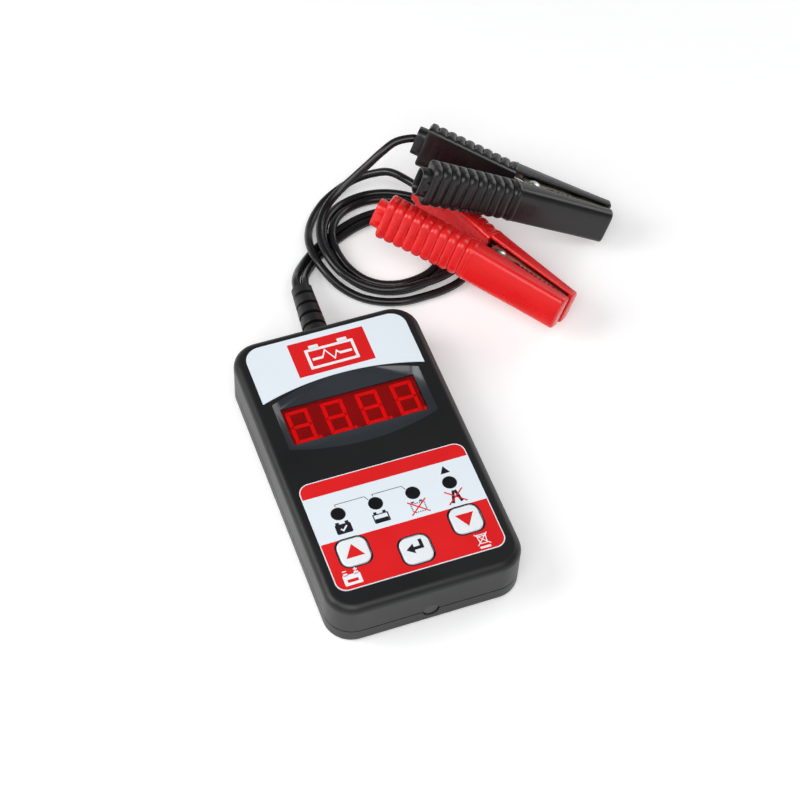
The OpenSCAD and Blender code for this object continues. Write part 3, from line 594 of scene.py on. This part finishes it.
labelSettings = {"half": 30.3, "bottom": -50.8, "top": -6.1, "border": 0.35, "bandLow": -12.2,
                 "fieldTop": -31.2, "corner": 3.7}
lampSettings = {"pitch": 13.5, "y": -21, "sides": 36,
                "lens": [(2.4, -0.04), (2.4, 0.03), (2.28, 0.07), (1.6, 0.09), (0.9, 0.1), (0.3, 0.1)]}
lampColumns = [(i - 1.5) * lampSettings["pitch"] for i in range(4)]


def batteryMark(cx, cy, width, height, line):
    half, tall = width / 2, height / 2
    hollow = [roundBox(cx, cy, width, height, 0.3),
              roundBox(cx, cy, width - 2 * line, height - 2 * line, 0.12)]
    posts = [[roundBox(cx + side * half * 0.58, cy + tall + 0.42, width * 0.2, 0.9, 0.1)]
             for side in (-1, 1)]
    return hollow, posts


def keyOutline(place, size):
    width, radius = size
    return roundBox(*place, width, width, radius)


def printLowerLabel():
    s = labelSettings
    inner = s["half"] - s["border"]
    bandTop, low = s["top"] - s["border"], s["bottom"] + s["border"]
    band = roundBox(0, (bandTop + s["bandLow"]) / 2, 2 * inner, bandTop - s["bandLow"],
                    [s["corner"], s["corner"], 0, 0])
    addInk("topBand", [[band]], "redInk")
    keys = keySettings["places"].values()
    holes = [keyOutline(place, keySettings["ring"]) for place in keys]
    field = roundBox(0, (low + s["fieldTop"]) / 2, 2 * inner, s["fieldTop"] - low,
                     [0, 0, s["corner"], s["corner"]])
    addInk("keyField", [[field] + holes], "redInk")
    rings = [[keyOutline(place, keySettings[size]) for size in ("ring", "ringInside")] for place in keys]
    addInk("keyRings", rings, "blackInk")


markSettings = {"y": -27.0, "line": 0.26, "lineY": -17.2, "cross": 0.5, "dot": 0.27, "dotSides": 10,
                "dotPitch": 0.8, "dotRise": 0.72, "field": (-24.0, -47.0), "bin": (22.6, -46.2)}


# Lines that join the first three lamps.
def printLampLines():
    line, top = markSettings["line"], markSettings["lineY"]
    lines = []
    for left, right in zip(lampColumns[:2], lampColumns[1:3]):
        lines += [[bar(left, -18.0, left, top - 0.1, line)],
                  [bar(left - line / 2, top, right - 3.0, top, line)],
                  [bar(right - 2.9, top + 0.1, right - 1.9, -18.9, line)]]
    addInk("statusLines", lines, "greyInk")


# A battery drawn in dots, for one that can't be charged.
def printDottedBattery(c, y):
    m = markSettings
    left, low = c - 2.4, y - 2.0
    dots = []
    for i in range(7):
        dots += [(left + i * m["dotPitch"], low), (left + i * m["dotPitch"], y + 1.6)]
    for i in range(1, 5):
        dots += [(left, low + i * m["dotRise"]), (c + 2.4, low + i * m["dotRise"])]
    shapes = [[disc(*dot, m["dot"], m["dotSides"])] for dot in dots]
    shapes += [[roundBox(c + side * 1.5, y + 2.25, 1.1, 0.7, 0.1)] for side in (-1, 1)]
    addInk("dottedBattery", shapes, "greyInk")


# battery, half charged battery, dotted battery with a cross, clamp with a cross, and a warning sign
def printStatusMarks():
    y = markSettings["y"]
    a, b, c, d = lampColumns
    solid = [[roundBox(a, y - 0.2, 5.6, 3.9, 0.4)]]
    solid += [[roundBox(a + side * 1.7, y + 2.2, 1.3, 0.9, 0.15)] for side in (-1, 1)]
    hollow, posts = batteryMark(b, y - 0.1, 5.6, 3.7, 0.42)
    half = [hollow, [roundBox(b, y - 1.0, 4.7, 1.5, 0.1)]] + posts
    warning = [[[(d - 1.75, -17.0), (d + 1.75, -17.0), (d, -13.9)]]]
    addInk("statusMarks", solid + half + warning, "blackInk")
    addInk("clampMark", [[bar(d - 1.7, y - 2.5, d - 0.1, y + 2.5, 1.0)]], "blackInk", rise=0.018)
    addInk("clampMarkOther", [[bar(d + 1.5, y - 2.5, d + 0.5, y + 2.5, 1.0)]], "blackInk", rise=0.022)
    printLampLines()
    printDottedBattery(c, y)
    rising = [[bar(x - 3.3, y - 2.8, x + 3.3, y + 2.7, markSettings["cross"])] for x in (c, d)]
    addInk("crossRising", rising, "redInk", rise=inkSettings["over"])
    falling = [[bar(x - 3.3, y + 2.7, x + 3.3, y - 2.8, markSettings["cross"])] for x in (c, d)]
    addInk("crossFalling", falling, "redInk", rise=inkSettings["overAll"])
    tick = [(a - 1.3, y - 0.3), (a - 0.9, y + 0.1), (a - 0.35, y - 0.5), (a + 1.1, y + 1.0),
            (a + 1.5, y + 0.6), (a - 0.35, y - 1.35)]
    addInk("chargeTick", [[tick]], "whiteInk", rise=inkSettings["over"])


def printFieldBattery():
    x, y = markSettings["field"]
    signs = [[bar(x + side * 1.9 - 0.7, y + 3.6, x + side * 1.9 + 0.7, y + 3.6, 0.4)] for side in (-1, 1)]
    posts = [[roundBox(x + side * 1.9, y + 2.25, 1.5, 1.0, 0.15)] for side in (-1, 1)]
    case = [roundBox(x, y, 6.2, 4.1, 0.35), roundBox(x, y - 0.4, 3.8, 1.2, 0.15)]
    addInk("fieldBattery", [case] + posts + signs, "whiteInk", rise=inkSettings["over"])
    upright = bar(x + 1.9, y + 2.9, x + 1.9, y + 4.3, 0.4)
    addInk("fieldBatteryUpright", [[upright]], "whiteInk", rise=inkSettings["overAll"])


def printFieldBin():
    x, y = markSettings["bin"]
    outside = [(x - 1.7, y + 1.5), (x + 1.7, y + 1.5), (x + 1.3, y - 1.7), (x - 1.3, y - 1.7)]
    inside = [(x - 1.3, y + 1.15), (x + 1.3, y + 1.15), (x + 0.98, y - 1.35), (x - 0.98, y - 1.35)]
    lid = bar(x - 2.1, y + 1.95, x + 2.1, y + 1.95, 0.38)
    foot = bar(x - 1.9, y - 3.1, x + 1.9, y - 3.1, 0.85)
    addInk("fieldBin", [[outside, inside], [lid], [foot]], "whiteInk", rise=inkSettings["over"])
    rising, falling = [bar(x - 2.3, y + a, x + 2.3, y + b, 0.32) for a, b in ((-2.2, 2.4), (2.4, -2.2))]
    addInk("fieldBinCross", [[rising]], "whiteInk", rise=inkSettings["overAll"])
    addInk("fieldBinCrossOther", [[falling]], "whiteInk", rise=inkSettings["last"])


def printKeys():
    for name, flip in (("up", 1), ("down", -1)):
        x, y = keySettings["places"][name]
        legend = [(x - 3.3, y - 2.2 * flip), (x + 3.3, y - 2.2 * flip), (x, y + 3.0 * flip)]
        addInk(name + "Legend", [[legend]], "redInk", name + "_button", keySettings["top"])
    x, y = keySettings["places"]["enter"]
    y += 0.9
    arrow = [(x + 2.8, y + 2.6), (x + 1.6, y + 2.6), (x + 1.6, y + 0.1), (x - 0.6, y + 0.1),
             (x - 0.6, y + 1.5), (x - 3.4, y - 0.5), (x - 0.6, y - 2.5), (x - 0.6, y - 1.1),
             (x + 2.8, y - 1.1)]
    addInk("enterLegend", [[arrow]], "blackInk", "enter_button", keySettings["top"])


plateSettings = {"plate": (0, 45.35, 28.6, 15.3, 0.3), "battery": (0, 44.4, 18.4, 9.0, 1.1),
                 "postX": 5.4, "postY": 49.6, "post": (3.6, 1.6, 0.2), "traceHalf": 0.55,
                 "pulse": [(-7.4, 44.1), (-3.6, 44.1), (-2.0, 47.0), (0.5, 42.3), (2.0, 45.4), (3.0, 44.1),
                           (7.4, 44.1)]}


# plate with a battery and a pulse
def printUpperLabel():
    s = plateSettings
    addInk("upperPlate", [[roundBox(*s["plate"])]], "redInk")
    hollow = batteryMark(*s["battery"])[0]
    posts = [[roundBox(side * s["postX"], s["postY"], *s["post"])] for side in (-1, 1)]
    trace = [(x, y + s["traceHalf"]) for x, y in s["pulse"]]
    trace += [(x, y - s["traceHalf"]) for x, y in reversed(s["pulse"])]
    addInk("upperBattery", [hollow] + posts + [[trace]], "whiteInk", rise=inkSettings["over"])


printLowerLabel()
printStatusMarks()
printFieldBattery()
printFieldBin()
printKeys()
printUpperLabel()
print("print is on the labels and keys")

# display and lamps

displaySettings = {"middle": 20.0, "first": -19.6, "pitch": 13.0, "width": 8.1, "length": 14.0,
                   "stroke": 1.4, "gap": 0.07, "low": 16.03, "high": 16.08, "dot": (5.0, 0.1, 0.7),
                   "face": (49.8, 18.8, 0.2), "faceLow": 15.99}


def segment(x1, y1, x2, y2, stroke, gap):
    along = Vector((x2 - x1, y2 - y1)).normalized()
    side = Vector((-along.y, along.x)) * stroke / 2
    a, b = Vector((x1, y1)) + along * gap, Vector((x2, y2)) - along * gap
    c, d = a + along * stroke / 2, b - along * stroke / 2
    return [tuple(p) for p in (a, c - side, d - side, b, d + side, c + side)]


# Seven segments: outer ones with square corners, the middle one pointed at both ends.
def digitShapes(x, y, settings):
    t, g = settings["stroke"] / 2, settings["gap"]
    mitre = 1.4 * g  # the gap, measured along a corner's slope
    half, reach = settings["width"] / 2 - t, settings["length"] / 2 - t
    shapes = [[segment(x - half, y, x + half, y, 2 * t, g)]]
    for k in (-1, 1):
        outer, inner = half + t - mitre, half - t - mitre
        shapes.append([[(x - outer, y + k * (reach + t)), (x + outer, y + k * (reach + t)),
                        (x + inner, y + k * (reach - t)), (x - inner, y + k * (reach - t))]])
        for side in (-1, 1):
            far, near = x + side * (half + t), x + side * (half - t)
            shapes.append([[(far, y + k * g), (far, y + k * (reach + t - mitre)),
                            (near, y + k * (reach - t - mitre)), (near, y + k * (t + g))]])
    across, below, radius = settings["dot"]
    return shapes + [[disc(x + across, y - reach - below, radius, 20)]]


def makeDigits():
    s = displaySettings
    parts = [slab(shape, s["low"], s["high"]) for shape in digitShapes(s["first"], s["middle"], s)]
    face = [slab([roundBox(0, s["middle"], *s["face"])], s["faceLow"], s["low"] + 0.01)]
    # The face behind the segments carries the faint painted glow.
    addPiece("reflectorFace", face, "segmentBackPaintedGlow", "case")
    addRepeat("displayDigits", parts, "segmentRedPaintedGlow", "case", 4, (s["pitch"], 0, 0))


def makeLampLenses():
    s = lampSettings
    place = Matrix.Translation(point(lampColumns[0], s["y"], inkSettings["label"]))
    lens = [turned(s["lens"], place, s["sides"])]
    addRepeat("lampLenses", lens, "lensDark", "case", len(lampColumns), (s["pitch"], 0, 0))


makeDigits()
makeLampLenses()
print("display and lamps are made")

# clamp boots

# Distances run along the handle from the flange; band and end give (distance, rise above the handle).
bootSettings = {"pitch": 3.7375, "firstGroove": 3.366, "grooves": 9, "groove": 1.15, "roundness": 0.97,
                "swell": 0.25, "length": 35.83, "thickFlange": 9.4, "thickEnd": 9.0, "middleFlange": 7.5,
                "middleEnd": 15.8, "pocketWall": 1.7, "pocketSide": 1.6, "pocketDepth": 6,
                "pocketCorners": (0.8, 1.5), "corners": (1.7, 3.3), "web": 0.7, "inward": 0.4,
                "band": [(0, -0.2), (0.12, 0.35), (0.35, 0.5), (1.2, 0.5), (1.45, 0.35), (1.6, 0.0)],
                "end": [(36.1, 0.1), (36.4, -0.1), (36.7, -0.4), (36.85, -0.85)],
                "endFrom": 36.2, "endShrink": 0.1,
                # collar, outside and then in: distance, half thickness, half width and corner
                "collar": [(36.88, 3.5, 5.5, 2.6), (40.0, 3.45, 5.45, 2.6), (40.33, 3.2, 5.2, 2.4),
                           (40.33, 2.75, 4.75, 2.1), (40.0, 2.5, 4.5, 1.9), (32.8, 2.45, 4.45, 1.9)],
                # rings round a groove, as shares of the pitch
                "beforeGroove": (0.4, 0.3, 0.2, 0.12, 0.06, 0.02),
                "afterGroove": (0.0, 0.02, 0.06, 0.12, 0.2, 0.35, 0.5),
                "untilNext": (0.65, 0.8, 0.88, 0.94, 0.98)}


def between(a, b, t):
    return a + (b - a) * t


def jawShare(x):
    return (x + clampSize["flangeX"]) / (clampSize["jaw"] + clampSize["flangeX"])


# A jaw cover's back, half width and lip at x.
def jawSize(x):
    t, c = jawShare(x), clampSize
    return (between(c["flangeY"], c["tipY"], t), between(c["flangeZ"], c["tipZ"], t),
            between(c["lipFlange"], c["lipTip"], t))


# Rounded box section as (across, z), from the middle of its inner side round by +z.
def boxSection(low, high, half, cornerIn, cornerOut, web=0.0):
    points = [(low + web * (1 - (k / 5) ** 2), (half - cornerIn) * k / 5) for k in range(5)]
    for k in range(5):
        a = math.pi / 8 * k
        points.append((low + cornerIn * (1 - math.cos(a)), half - cornerIn * (1 - math.sin(a))))
    points += [(between(low + cornerIn, high - cornerOut, k / 4), half) for k in range(1, 4)]
    for k in range(7):
        a = math.pi / 12 * k
        points.append((high - cornerOut * (1 - math.sin(a)), half - cornerOut * (1 - math.cos(a))))
    points += [(high, (half - cornerOut) * (1 - k / 3)) for k in range(1, 3)] + [(high, 0)]
    return points + [(v, -z) for v, z in points[-2:0:-1]]


# A section pushed out from its middle, less and less towards its inner side.
def grownSection(section, low, high, amount):
    middle = (low + high) / 2
    result = []
    for v, z in section:
        share = min(1, max(0, (v - low) / (high - low) / bootSettings["inward"]))
        far = math.hypot(v - middle, z)
        grow = 1 + amount * share * share * (3 - 2 * share) / far
        result.append((middle + (v - middle) * grow, z * grow))
    return result


# Round ribs: how far the surface stands out at s.
def ribRise(s):
    b = bootSettings
    u = ((s - b["firstGroove"]) / b["pitch"]) % 1 * 2 - 1
    return b["swell"] - b["groove"] * (1 - math.sqrt(1 - b["roundness"] * u * u))


def handleSection(s):
    b = bootSettings
    share = s / b["length"]
    thick = between(b["thickFlange"], b["thickEnd"], share) * math.cos(handleTurn)
    return -thick / 2, thick / 2, between(clampSize["flangeZ"], clampSize["handleZ"], share)


def handleRing(s, section):
    b = bootSettings
    x = -clampSize["flangeX"] - s * math.cos(handleTurn)
    middle = between(b["middleFlange"], b["middleEnd"], s / b["length"])
    return [(x + v * math.sin(handleTurn), middle + v * math.cos(handleTurn), z) for v, z in section]


# Where the ribbed part gets a ring: close together in the grooves.
def ribStations():
    b = bootSettings
    grooveAt = [b["firstGroove"] + i * b["pitch"] for i in range(b["grooves"])]
    spots = [grooveAt[0] - b["pitch"] * f for f in b["beforeGroove"]]
    for g in grooveAt:
        spots += [g + b["pitch"] * f for f in b["afterGroove"]]
        if g != grooveAt[-1]:
            spots += [g + b["pitch"] * f for f in b["untilNext"]]
    return [(s, ribRise(s)) for s in spots]


# Handle from its pocket at the flange, over the ribs, to the collar and into its mouth.
def handleSkin():
    b = bootSettings
    low, high, half = handleSection(0)
    wall = b["pocketWall"]
    pocket = boxSection(low + wall, high - wall, half - b["pocketSide"], *b["pocketCorners"])
    rings = [handleRing(b["pocketDepth"], pocket), handleRing(0.1, pocket)]
    for s, rise in b["band"] + ribStations() + b["end"]:
        low, high, half = handleSection(s)
        section = boxSection(low, high, half, *b["corners"], b["web"])
        section = grownSection(section, low, high, rise)
        if s > b["endFrom"]:
            shrink = 1 - (s - b["endFrom"]) * b["endShrink"]
            section = [(v * shrink, z * shrink) for v, z in section]
        rings.append(handleRing(s, section))
    for s, half, wide, corner in b["collar"]:
        rings.append(handleRing(s, boxSection(-half, half, wide, corner, corner)))
    return loft(rings)


jawSettings = {"from": -7.6, "to": 30.8, "rings": 15, "corner": 2.3, "cornerShare": 0.4, "sideCrown": 0.12,
               "backCrown": 0.18, "markX": -0.2, "markRings": (2.25, 1.0), "markHalf": 0.16,
               "markRise": 0.14,
               "tip": [(30.2, 0.35), (30.5, 0.0), (31.3, 0.02), (31.7, 0.2), (31.93, 0.5), (32.0, 0.95)],
               "tipCorners": (0.5, 2.1)}


# U-shaped cover of a jaw: the open side faces the other jaw.
def jawRing(x):
    j = jawSettings
    high, half, low = jawSize(x)
    corner = min(j["corner"], (high - low) * j["cornerShare"])
    outer = [(low + 0.25, half), (between(low, high - corner, 0.5), half + j["sideCrown"])]
    for k in range(6):
        a = math.pi / 10 * k
        outer.append((high - corner * (1 - math.sin(a)), half - corner * (1 - math.cos(a))))
    outer += [(high + 0.15, (half - corner) * 0.5), (high + j["backCrown"], 0)]
    roof, wall = high - clampSize["cover"], clampSize["innerZ"]
    edge = [(low, half - 0.3), (low, wall + 0.25)]
    inner = edge + [(low + 0.25, wall), (roof - 0.6, wall), (roof, wall - 0.8)]
    ring = outer + [(y, -z) for y, z in outer[-2::-1] + inner] + [(roof, 0)] + inner[::-1]
    return [(x, y, z) for y, z in ring]


def jawSkin():
    j = jawSettings
    last = j["rings"] - 1
    return loft([jawRing(between(j["from"], j["to"], k / last)) for k in range(j["rings"])])


# Closed end of a jaw cover, as (x, inset) rings.
def jawTip():
    rings = []
    for x, inset in jawSettings["tip"]:
        high, half, low = jawSize(x)
        section = boxSection(low + inset * 0.6, high + 0.12 - inset, half + 0.05 - inset,
                             *jawSettings["tipCorners"])
        rings.append([(x, y, z) for y, z in section])
    return loft(rings)


# Round moulded mark on a jaw cover's back, near the flange.
def mouldMark(radius):
    x = jawSettings["markX"]
    high = jawSize(x)[0] + 0.15
    slope = (clampSize["flangeY"] - clampSize["tipY"]) / (clampSize["jaw"] + clampSize["flangeX"])
    rings = []
    for k in range(36):
        a = 2 * math.pi * k / 36
        ring = []
        for j in range(8):
            c = 2 * math.pi * j / 8
            r = radius + jawSettings["markHalf"] * math.cos(c)
            y = high - r * math.cos(a) * slope + jawSettings["markRise"] * math.sin(c)
            ring.append((x + r * math.cos(a), y, r * math.sin(a)))
        rings.append(ring)
    return loft(rings, loop=True)


domeSettings = {"profile": [(2.0, 5.7), (2.0, 5.95), (1.75, 6.2), (1.2, 6.42), (0.6, 6.52), (0.15, 6.55)],
                "sides": 28}


# Head of the rivet, on one side of the clamp.
def makeDome(place, side):
    return turned(domeSettings["profile"], place @ Matrix.Diagonal((1, 1, side, 1)), domeSettings["sides"])


def makeBoots(colour):
    place = clampFrame(colour)
    shapes = [handleSkin(), jawSkin(), jawTip()] + [mouldMark(r) for r in jawSettings["markRings"]]
    for half, flip in (("fixed", 1), ("moving", -1)):
        parts = []
        for vertices, faces in shapes:
            parts.append(([place @ point(x, y * flip, z) for x, y, z in vertices], faces))
        body = "case" if half == "fixed" else colour + "_lever"
        addPiece("%s%sBoot" % (colour, half.title()), parts, colour + "Boot", body,
                 ["%s_%s_cover" % (colour, half)], 40)
    domes = [makeDome(place, side) for side in (1, -1)]
    addPiece(colour + "RivetDomes", domes, "zincSteel", "case")


for colour in clampPlaces:
    makeBoots(colour)
print("clamp boots are made")

# cords, floor and light

for colour, (lead, length) in leads.items():
    pieces = [colour + "_" + node for node in clampFinishes]
    pieces += [colour + "FixedBoot", colour + "MovingBoot", colour + "RivetDomes"]
    print(colour, "lead:", round(length, 4))

floorSettings = {"half": 3, "colour": (0.9, 0.9, 0.9), "glow": 0.24}


def makeFloor(settings):
    half = settings["half"]
    mesh = bpy.data.meshes.new("floor")
    corners = [(x * half, y * half, 0) for x, y in ((-1, -1), (1, -1), (1, 1), (-1, 1))]
    mesh.from_pydata(corners, [], [[0, 1, 2, 3]])
    floor = bpy.data.objects.new("floor", mesh)
    scene.collection.objects.link(floor)
    paper = makeFinish("floorPaper", settings["colour"], (0.75, 0.85), 60, 0.02, 3, 0.005)
    shader = paper.node_tree.nodes["Principled BSDF"]
    shader.inputs["Emission Color"].default_value = (1, 1, 1, 1)
    shader.inputs["Emission Strength"].default_value = settings["glow"]
    mesh.materials.append(paper)


makeFloor(floorSettings)

lightSettings = {"key": {"at": (-560, 160, 500), "aim": (10, 30, 10), "size": 0.45, "power": 3.1},
                 "front": {"at": (-160, -430, 740), "aim": (20, 30, 0), "size": 0.7, "power": 4.6},
                 "side": {"at": (620, 260, 300), "aim": (10, 20, 10), "size": 0.4, "power": 1.0}}


def addLight(name, settings):
    data = bpy.data.lights.new(name + "Light", "AREA")
    data.size = settings["size"]
    data.energy = settings["power"]
    light = bpy.data.objects.new(name + "Light", data)
    light.location = point(*settings["at"])
    toward = point(*settings["aim"]) - light.location
    light.rotation_mode = "QUATERNION"
    light.rotation_quaternion = toward.to_track_quat("-Z", "Y")
    scene.collection.objects.link(light)


worldSettings = {"colour": (0.97, 0.98, 1.0, 1), "horizon": 0.6, "above": 0.14, "from": 0.05, "to": 0.6}


# An even studio sky, bright at the horizon and darker above.
def makeWorld(settings):
    world = bpy.data.worlds.new("studio")
    world.use_nodes = True
    tree = world.node_tree
    height = tree.nodes.new("ShaderNodeSeparateXYZ")
    tree.links.new(tree.nodes.new("ShaderNodeTexCoord").outputs["Generated"], height.inputs["Vector"])
    glow = rangeNode(tree, height.outputs["Z"], settings["horizon"], settings["above"],
                     settings["from"], settings["to"])
    background = tree.nodes["Background"]
    tree.links.new(glow, background.inputs["Strength"])
    background.inputs["Color"].default_value = settings["colour"]
    scene.world = world


for name, settings in lightSettings.items():
    addLight(name, settings)
makeWorld(worldSettings)
scene.view_settings.view_transform = "Standard"
print("floor and lights are set")
